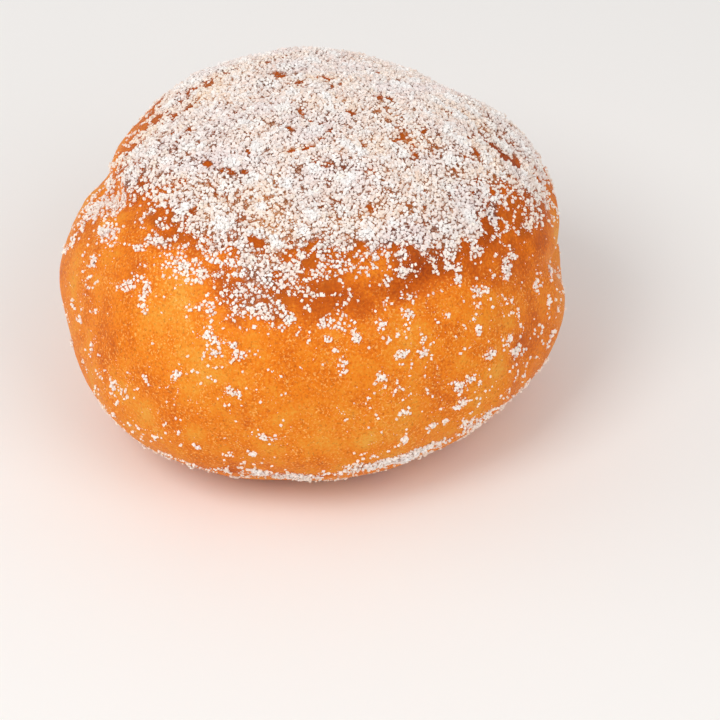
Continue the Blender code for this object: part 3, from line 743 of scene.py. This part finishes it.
def browning(direction, point):
    """How brown the crust is, 0 pale gold to 1 dark: more on the cap, with patches and spots."""
    azimuth, rise = angles_of(direction)
    limit, _ = along_table(azimuth, SUGAR_LIMIT)
    brown = SIDE_BROWNING
    for amount, past, softness in ADDED_BROWNING:
        brown = brown + amount * logistic((rise - limit - past) / softness)
    brown = add_ovals(brown, azimuth, rise, CRUST_PATCHES)
    return np.clip(uneven(point, BROWN_SPOTS, brown), 0.0, 1.0)


def make_bun(finish):
    """The bun's skin, as one closed surface."""
    direction, faces, corners = cube_ball(BUN_CELLS)
    point = skin(direction)
    bun = add_mesh("bun", point, faces, True)
    add_map(bun, corners)
    add_value(bun, "browning", browning(direction, point))
    add_value(bun, "sugar_film", sugar_cover(direction, point))
    add_value(bun, "powder", sugar_powder(point))
    add_value(bun, "warmth", sugar_warmth(point))
    return dress(bun, finish)


# The sugar

# Shapes of a crystal: a box, a double pyramid and a splinter of four sides
BOX = (
    np.array([[x, y, z] for x in (-0.5, 0.5) for y in (-0.5, 0.5) for z in (-0.5, 0.5)]),
    np.array([[0, 1, 3, 2], [4, 6, 7, 5], [0, 4, 5, 1], [2, 3, 7, 6], [0, 2, 6, 4], [1, 5, 7, 3]]),
)
DOUBLE_PYRAMID = (
    np.array([[0.6, 0, 0], [0, 0.6, 0], [-0.6, 0, 0], [0, -0.6, 0], [0, 0, 0.6], [0, 0, -0.6]]),
    np.array([[0, 1, 4], [1, 2, 4], [2, 3, 4], [3, 0, 4],
              [1, 0, 5], [2, 1, 5], [3, 2, 5], [0, 3, 5]]),
)
SPLINTER = (
    np.array([[0.6, 0.35, -0.3], [-0.6, 0.35, -0.3], [0, -0.7, -0.3], [0, 0, 0.6]]),
    np.array([[0, 2, 1], [0, 1, 3], [1, 2, 3], [2, 0, 3]]),
)
CORNER_ROUGHNESS = 0.16

# How long, wide and high crystals are for their size, how sizes are spread, and how deep they sink
CRYSTAL_STRETCH = ((0.9, 1.3), (0.75, 1.1), (0.55, 0.95))
SIZE_SPREAD = (1.6, 2.4)
THIN_SIZE = 0.77
THICK_GAIN = 0.29
CRYSTAL_SEAT = 0.22
TABLE_GAP = 0.05 * MM

# How grey or creamy crystals are: by luck, by clump as painted shade over whole clumps, at least,
# and how much powder whitens them. The power makes few of them grey by luck, and the span is what
# lone ones take of the crust's glow
LUCK_TINT = 0.65
CLUMP_SHADE = 0.35
LEAST_TINT = 0.09
POWDER_WHITENING = 0.95
LUCK_POWER = 1.6
CLUMP_MEAN = 0.5
THIN_SPAN = (0.3, 1.0)

# Kinds of crystal: shape, least and greatest size, seed, height of the pile and of its base
KINDS = {
    "coarse_sugar": (BOX, (0.44 * MM, 0.68 * MM), 61, 0.14 * MM, 0.0),
    "medium_sugar": (DOUBLE_PYRAMID, (0.48 * MM, 0.76 * MM), 62, 0.14 * MM, 0.0),
    "heaped_sugar": (BOX, (0.38 * MM, 0.60 * MM), 63, 0.30 * MM, 0.22 * MM),
    "fine_sugar": (DOUBLE_PYRAMID, (0.20 * MM, 0.36 * MM), 64, 0.0, 0.0),
    "sugar_dust": (SPLINTER, (0.10 * MM, 0.20 * MM), 65, 0.0, 0.0),
}


def turned_frames(outward):
    """Two directions across each outward one."""
    helper = np.where(np.abs(outward[:, 2:3]) < 0.8, [[0.0, 0.0, 1.0]], [[1.0, 0.0, 0.0]])
    east = unit(np.cross(helper, outward))
    return east, np.cross(outward, east)


def make_crystals(name, point, outward, lift, cover, shape, sizes, seed, finish, tilt=0.35):
    """One piece of many crystals, each a small solid with its own size, spin, tilt and corners.

    A crystal's corner is its place plus the shape's corner, stretched to the crystal's length,
    width and height, turned about the direction out of the skin and tilted off it.
    """
    rng = np.random.default_rng(seed)
    corners, faces = shape
    count = len(point)
    east, north = turned_frames(outward)
    spin = rng.uniform(0.0, 2.0 * math.pi, (count, 1))
    up = unit(outward + tilt * rng.normal(size=(count, 3)))
    along = east * np.cos(spin) + north * np.sin(spin)
    along = unit(along - up * (along * up).sum(1, keepdims=True))
    size = sizes[0] + (sizes[1] - sizes[0]) * rng.beta(*SIZE_SPREAD, count)
    size = size * (THIN_SIZE + THICK_GAIN * cover)
    stretch = np.stack([size * rng.uniform(*span, count) for span in CRYSTAL_STRETCH], 1)
    solid = corners * (1.0 + CORNER_ROUGHNESS * rng.normal(size=(count, *corners.shape)))
    solid = (solid * stretch[:, None]) @ np.stack([along, np.cross(up, along), up], 1)
    rise = CRYSTAL_SEAT * stretch[:, 2] + lift * rng.uniform(size=count) ** 2
    place = solid + (point + outward * rise[:, None])[:, None]
    place[..., 2] = np.maximum(place[..., 2], TABLE_GAP)
    numbered = faces[None] + np.arange(count)[:, None, None] * len(corners)
    piece = add_mesh(name, place.reshape(-1, 3), numbered.reshape(-1, faces.shape[1]), False)
    add_map(piece, small_cells(count, faces))
    # Whole clumps are tinted together as painted shade between heaps; the rest of the tint is each
    # crystal's own tone
    clump = np.clip(uneven(point, CLUMP_SPOTS, CLUMP_MEAN), 0.0, 1.0)
    tint = LUCK_TINT * rng.uniform(size=count) ** LUCK_POWER + CLUMP_SHADE * clump
    tint = (LEAST_TINT + tint) * (1.0 - POWDER_WHITENING * sugar_powder(point))
    add_value(piece, "tint", np.repeat(tint, len(corners)))
    add_value(piece, "warmth", np.repeat(sugar_warmth(point), len(corners)))
    thin = (1.0 - cover) * rng.uniform(*THIN_SPAN, count)
    add_value(piece, "thin", np.repeat(thin, len(corners)))
    return dress(piece, finish)


def strew(name, places, finish):
    """Crystals of a kind strewn over the skin. Where they are heaped, some lie higher than others.

    The pile is how much higher the highest lie, and the base what all of them lie on.
    """
    shape, sizes, seed, pile, base = KINDS[name]
    direction, cover, heaped = places
    point, _, _, outward = skin_frame(direction)
    point = point + base * outward
    lift = pile * cover * heaped
    return make_crystals(name, point, outward, lift, cover, shape, sizes, seed, finish)


def small_cells(count, faces):
    """A map with a small square for each crystal, cut into strips, one for each of its faces."""
    side = math.ceil(math.sqrt(count))
    number = np.arange(count)
    cell = np.stack([number % side, number // side], 1)
    strips = len(faces)
    low = (np.arange(strips) + 0.1) / strips
    high = (np.arange(strips) + 0.9) / strips
    bottom, top = np.full(strips, 0.1), np.full(strips, 0.9)
    if faces.shape[1] == 4:
        shape = [[low, bottom], [high, bottom], [high, top], [low, top]]
    else:
        shape = [[low, bottom], [high, bottom], [(low + high) / 2.0, top]]
    return (cell[:, None, None] + np.array(shape).transpose(2, 0, 1)) / side


# Finishes

# Noises of the crust: spots for each metre, detail, roughness
BLOTCHES = (190.0, 3.0, 0.55)
PORES = (1900.0, 3.0, 0.6)
FLECKS = (2300.0, 2.0, 0.6)
FLECKED_AREAS = (190.0, 2.0, 0.5)
PITS = (1700.0, 2.0, 0.6)
GAP_SHADE_LINES = (1000.0, 2.0, 0.5)
FILM_EDGE = (600.0, 2.0, 0.5)
DUST_SPECKS = (2000.0, 2.0, 0.5)

# Colours of the crust from pale to dark, by browning, and of what shows on it: flecks, pores, and
# the crust under the sugar, partly browner and partly painted shade between the crystals
CRUST_COLOURS = (
    (0.0, (0.83, 0.37, 0.050)), (0.20, (0.84, 0.275, 0.020)), (0.36, (0.83, 0.212, 0.008)),
    (0.60, (0.65, 0.128, 0.004)), (0.80, (0.50, 0.085, 0.002)), (1.0, (0.32, 0.045, 0.002)),
)
FLECK_COLOUR = (1.0, 0.56, 0.16, 1.0)
PIT_COLOUR = (0.40, 0.080, 0.005, 1.0)
BROWNED_AND_SHADED_CRUST = (0.40, 0.082, 0.004, 1.0)

# Colours between the crystals (dark crust in painted shade along narrow gaps, and the pale finest
# sugar) and of the crystals, each where they look cool and warm
SHADED_CRUST_IN_GAPS = ((0.16, 0.055, 0.038, 1.0), (0.50, 0.185, 0.045, 1.0))
SHALLOW_DUST = ((0.60, 0.41, 0.34, 1.0), (0.74, 0.42, 0.22, 1.0))
TINTED_CRYSTAL = ((0.86, 0.73, 0.71, 1.0), (0.96, 0.75, 0.57, 1.0))
DUST_HEAP = (0.86, 0.78, 0.75, 1.0)
WHITE_CRYSTAL = (0.98, 0.955, 0.945, 1.0)
LONE_CRYSTAL = (0.98, 0.86, 0.70, 1.0)

# How light enters the crust: little gloss, and a warm glow within a millimetre
CRUST_SURFACE = {
    "Specular IOR Level": 0.12,
    "Subsurface Weight": 0.05,
    "Subsurface Radius": (1.0, 0.35, 0.12),
    "Subsurface Scale": 1.0 * MM,
}


class Finish:
    """A material with its shader, and short ways to add nodes to it."""

    def __init__(self, name):
        self.material = bpy.data.materials.new(name)
        self.material.use_nodes = True
        self.nodes = self.material.node_tree.nodes
        self.shader = self.nodes["Principled BSDF"]
        self.where = None

    def feed(self, value, socket):
        """Links another node's value or colour to a socket, or sets a plain one on it."""
        if isinstance(value, bpy.types.NodeSocket):
            self.material.node_tree.links.new(value, socket)
        else:
            socket.default_value = value

    def add(self, kind, inputs, **settings):
        """A new node with settings of its own and with its inputs fed, by name or number."""
        node = self.nodes.new("ShaderNode" + kind)
        for name, value in settings.items():
            setattr(node, name, value)
        for name, value in inputs.items():
            self.feed(value, node.inputs[name])
        return node

    def surface(self, inputs):
        """Feeds the shader's inputs by name."""
        for name, value in inputs.items():
            self.feed(value, self.shader.inputs[name])

    def noise(self, scale, detail, roughness):
        """A noise texture on object coordinates; scale is in spots for each metre."""
        if self.where is None:
            self.where = self.add("TexCoord", {}).outputs["Object"]
        inputs = {"Scale": scale, "Detail": detail, "Roughness": roughness, "Vector": self.where}
        return self.add("TexNoise", inputs).outputs["Fac"]

    def remap(self, value, low, high, to_low, to_high):
        """Stretches a value from one range to another, held at both ends."""
        span = {"From Min": low, "From Max": high, "To Min": to_low, "To Max": to_high}
        return self.add("MapRange", {"Value": value, **span}).outputs["Result"]

    def combine(self, operation, first, second=0.0):
        """A sum, product or the like of two values, of which the second may be a plain number."""
        return self.add("Math", {0: first, 1: second}, operation=operation).outputs[0]

    def mix(self, amount, first, second):
        """Mixes two colours by an amount; each colour may be plain."""
        return self.add("Mix", {0: amount, 6: first, 7: second}, data_type="RGBA").outputs[2]

    def attribute(self, name):
        """The value of a named attribute."""
        return self.add("Attribute", {}, attribute_name=name).outputs["Fac"]

    def ramp(self, value, stops):
        """A colour by a value, with stops of a place and a colour."""
        node = self.add("ValToRGB", {"Fac": value})
        while len(node.color_ramp.elements) < len(stops):
            node.color_ramp.elements.new(0.5)
        for stop, (place, colour) in zip(node.color_ramp.elements, stops):
            stop.position = place
            stop.color = (*colour, 1.0)
        return node.outputs["Color"]

    def bump(self, height, strength, distance):
        """Feeds a height to the shader's normal."""
        inputs = {"Strength": strength, "Distance": distance, "Height": height}
        self.surface({"Normal": self.add("Bump", inputs).outputs["Normal"]})


def crust_finish():
    """Fried dough: gold to brown by how long it was fried, with fine pale flecks and dark pores.

    Where the sugar lies thick, its finest grains fill the gaps between the crystals, apart from
    narrow lines of dark crust in painted shade. Under the sugar, on browner crust, the crust is
    darker, partly browner and partly painted shade. Small bare spots of the cap have specks of the
    finest sugar.
    """
    crust = Finish("fried crust")
    browning = crust.attribute("browning")
    sugar_film = crust.attribute("sugar_film")
    warmth = crust.attribute("warmth")

    blotch = crust.remap(crust.noise(*BLOTCHES), 0.3, 0.7, -0.14, 0.16)
    pore = crust.noise(*PORES)
    brown = crust.combine("ADD", browning, blotch)
    brown = crust.combine("ADD", brown, crust.remap(pore, 0.3, 0.7, 0.16, -0.16))
    colour = crust.ramp(brown, CRUST_COLOURS)

    fleck = crust.remap(crust.noise(*FLECKS), 0.55, 0.65, 0.0, 0.70)
    flecked = crust.remap(crust.noise(*FLECKED_AREAS), 0.38, 0.60, 0.15, 1.0)
    fleck = crust.combine("MULTIPLY", fleck, flecked)
    fleck = crust.combine("MULTIPLY", fleck, crust.remap(brown, 0.46, 0.66, 1.0, 0.1))
    colour = crust.mix(fleck, colour, FLECK_COLOUR)
    pit = crust.remap(crust.noise(*PITS), 0.32, 0.42, 0.42, 0.0)
    colour = crust.mix(pit, colour, PIT_COLOUR)

    # Narrow lines between the crystals show dark crust in painted shade; elsewhere the pale finest
    # sugar fills the gaps
    line = crust.combine("ABSOLUTE", crust.combine("SUBTRACT", crust.noise(*GAP_SHADE_LINES), 0.5))
    line = crust.remap(line, 0.05, 0.15, 0.0, 1.0)
    dust_and_gap_shade = crust.mix(line, crust.mix(warmth, *SHADED_CRUST_IN_GAPS), crust.mix(warmth, *SHALLOW_DUST))
    full = crust.remap(sugar_film, 0.84, 0.94, 0.0, 1.0)
    dust_and_gap_shade = crust.mix(crust.combine("MULTIPLY", crust.attribute("powder"), full), dust_and_gap_shade, DUST_HEAP)

    edge = crust.remap(crust.noise(*FILM_EDGE), 0.3, 0.7, -0.12, 0.12)
    thick = crust.combine("ADD", sugar_film, edge)
    # Under the sugar, on browner crust, the crust is darkened: partly real browning, partly painted
    # shade between the crystals
    under = crust.remap(thick, 0.12, 0.55, 0.0, 0.60)
    under = crust.combine("MULTIPLY", under, crust.remap(browning, 0.42, 0.60, 0.0, 1.0))
    colour = crust.mix(under, colour, BROWNED_AND_SHADED_CRUST)
    speck = crust.remap(crust.noise(*DUST_SPECKS), 0.52, 0.60, 0.0, 0.34)
    speck = crust.combine("MULTIPLY", speck, crust.remap(browning, 0.80, 0.90, 0.0, 1.0))
    film = crust.remap(crust.combine("ADD", thick, speck), 0.60, 0.86, 0.0, 0.92)
    colour = crust.mix(film, colour, dust_and_gap_shade)

    crust.surface({"Base Color": colour, "Roughness": crust.remap(pore, 0.3, 0.7, 0.45, 0.65)})
    crust.bump(pore, strength=0.6, distance=0.15 * MM)
    crust.surface(CRUST_SURFACE)
    return crust.material


def sugar_finish():
    """White sugar: some crystals greyer or creamier than others, all with small glints."""
    sugar = Finish("sugar")
    tinted = sugar.mix(sugar.attribute("warmth"), *TINTED_CRYSTAL)
    # The tint is partly each crystal's own tone and partly painted shade over whole clumps
    colour = sugar.mix(sugar.attribute("tint"), WHITE_CRYSTAL, tinted)
    colour = sugar.mix(sugar.attribute("thin"), colour, LONE_CRYSTAL)
    sugar.surface({"Base Color": colour, "Roughness": 0.35, "Specular IOR Level": 0.5})
    return sugar.material


# The set

FLOOR_HALF_WIDTH = 1.5
FLOOR_COLOUR = (0.92, 0.91, 0.90, 1.0)

# Lamps a metre away: name, azimuth, lift, width in metres, watts, colour
LAMPS = (
    ("key", -130.0, 50.0, 0.45, 3.68, (1.0, 0.985, 0.96)),
    ("fill", -48.0, 42.0, 0.60, 2.25, (1.0, 0.985, 0.97)),
    ("side", 178.0, 24.0, 0.60, 1.30, (1.0, 0.99, 0.98)),
)
LAMP_AIM = Vector((0.0, 0.0, 30.0 * MM))
SKY_COLOUR = (1.0, 0.99, 0.98, 1.0)
SKY_STRENGTH = 0.55


def make_floor():
    """A plain pale floor, which isn't part of the doughnut."""
    half = FLOOR_HALF_WIDTH
    corners = np.array([[-half, -half, 0], [half, -half, 0], [half, half, 0], [-half, half, 0]])
    floor = add_mesh("floor", corners - [0, 0, TABLE_GAP], np.array([[0, 1, 2, 3]]), False)
    plain = Finish("floor")
    plain.surface({"Base Color": FLOOR_COLOUR, "Roughness": 0.8})
    floor.data.materials.append(plain.material)


def add_light(name, azimuth, lift, size, power, colour):
    """A square soft light a metre away, in the given direction, that looks at the doughnut."""
    lamp = bpy.data.lights.new(name, "AREA")
    lamp.shape = "SQUARE"
    lamp.size = size
    lamp.energy = power
    lamp.color = colour
    away = Vector(direction_of(azimuth, lift))
    holder = bpy.data.objects.new(name, lamp)
    holder.location = away + LAMP_AIM
    holder.rotation_euler = away.to_track_quat("Z", "Y").to_euler()
    bpy.context.scene.collection.objects.link(holder)


def make_lights():
    """Bright, soft studio light: a lamp above on the left, two weaker at the sides, a pale sky."""
    for lamp in LAMPS:
        add_light(*lamp)
    world = bpy.data.worlds.new("sky")
    world.use_nodes = True
    sky = world.node_tree.nodes["Background"].inputs
    sky["Color"].default_value = SKY_COLOUR
    sky["Strength"].default_value = SKY_STRENGTH
    bpy.context.scene.world = world
    bpy.context.scene.view_settings.view_transform = "Standard"


def make_camera():
    """Looks down from the front, aimed beside the doughnut as in the photograph."""
    camera = bpy.data.objects.new("camera", bpy.data.cameras.new("camera"))
    camera.data.lens = CAMERA_LENS
    camera.data.sensor_width = 36.0
    back = Vector((0.0, -math.cos(CAMERA_TILT), math.sin(CAMERA_TILT)))
    camera.location = CAMERA_AIM + back * CAMERA_DISTANCE
    camera.rotation_euler = back.to_track_quat("Z", "Y").to_euler()
    camera.data.clip_start = 0.01
    bpy.context.scene.collection.objects.link(camera)
    bpy.context.scene.camera = camera


def main():
    """Makes the set, the bun and its sugar."""
    make_camera()
    make_lights()
    make_floor()
    make_bun(crust_finish())
    places = lattice(spacing=0.63 * MM, seed=50)
    half = len(places) // 2
    strewn = {
        "coarse_sugar": scatter(places[:half], 51),
        "medium_sugar": scatter(places[half:], 52),
        "heaped_sugar": scatter(lattice(0.78 * MM, 53), 54, gain=3.0, most=0.40, powdered=0.9),
        "fine_sugar": scatter(lattice(0.54 * MM, 55), 56, gain=1.05, most=0.72, powdered=0.9),
        "sugar_dust": scatter(lattice(0.44 * MM, 57), 58),
    }
    sugar = sugar_finish()
    for name, kept in strewn.items():
        strew(name, kept, sugar)
    place, facing = lump_frames()
    make_crystals("sugar_lumps", place, facing, lift=0.0, cover=0.5, shape=BOX,
                  sizes=(0.34 * MM, 0.60 * MM), seed=66, finish=sugar, tilt=0.5)


main()
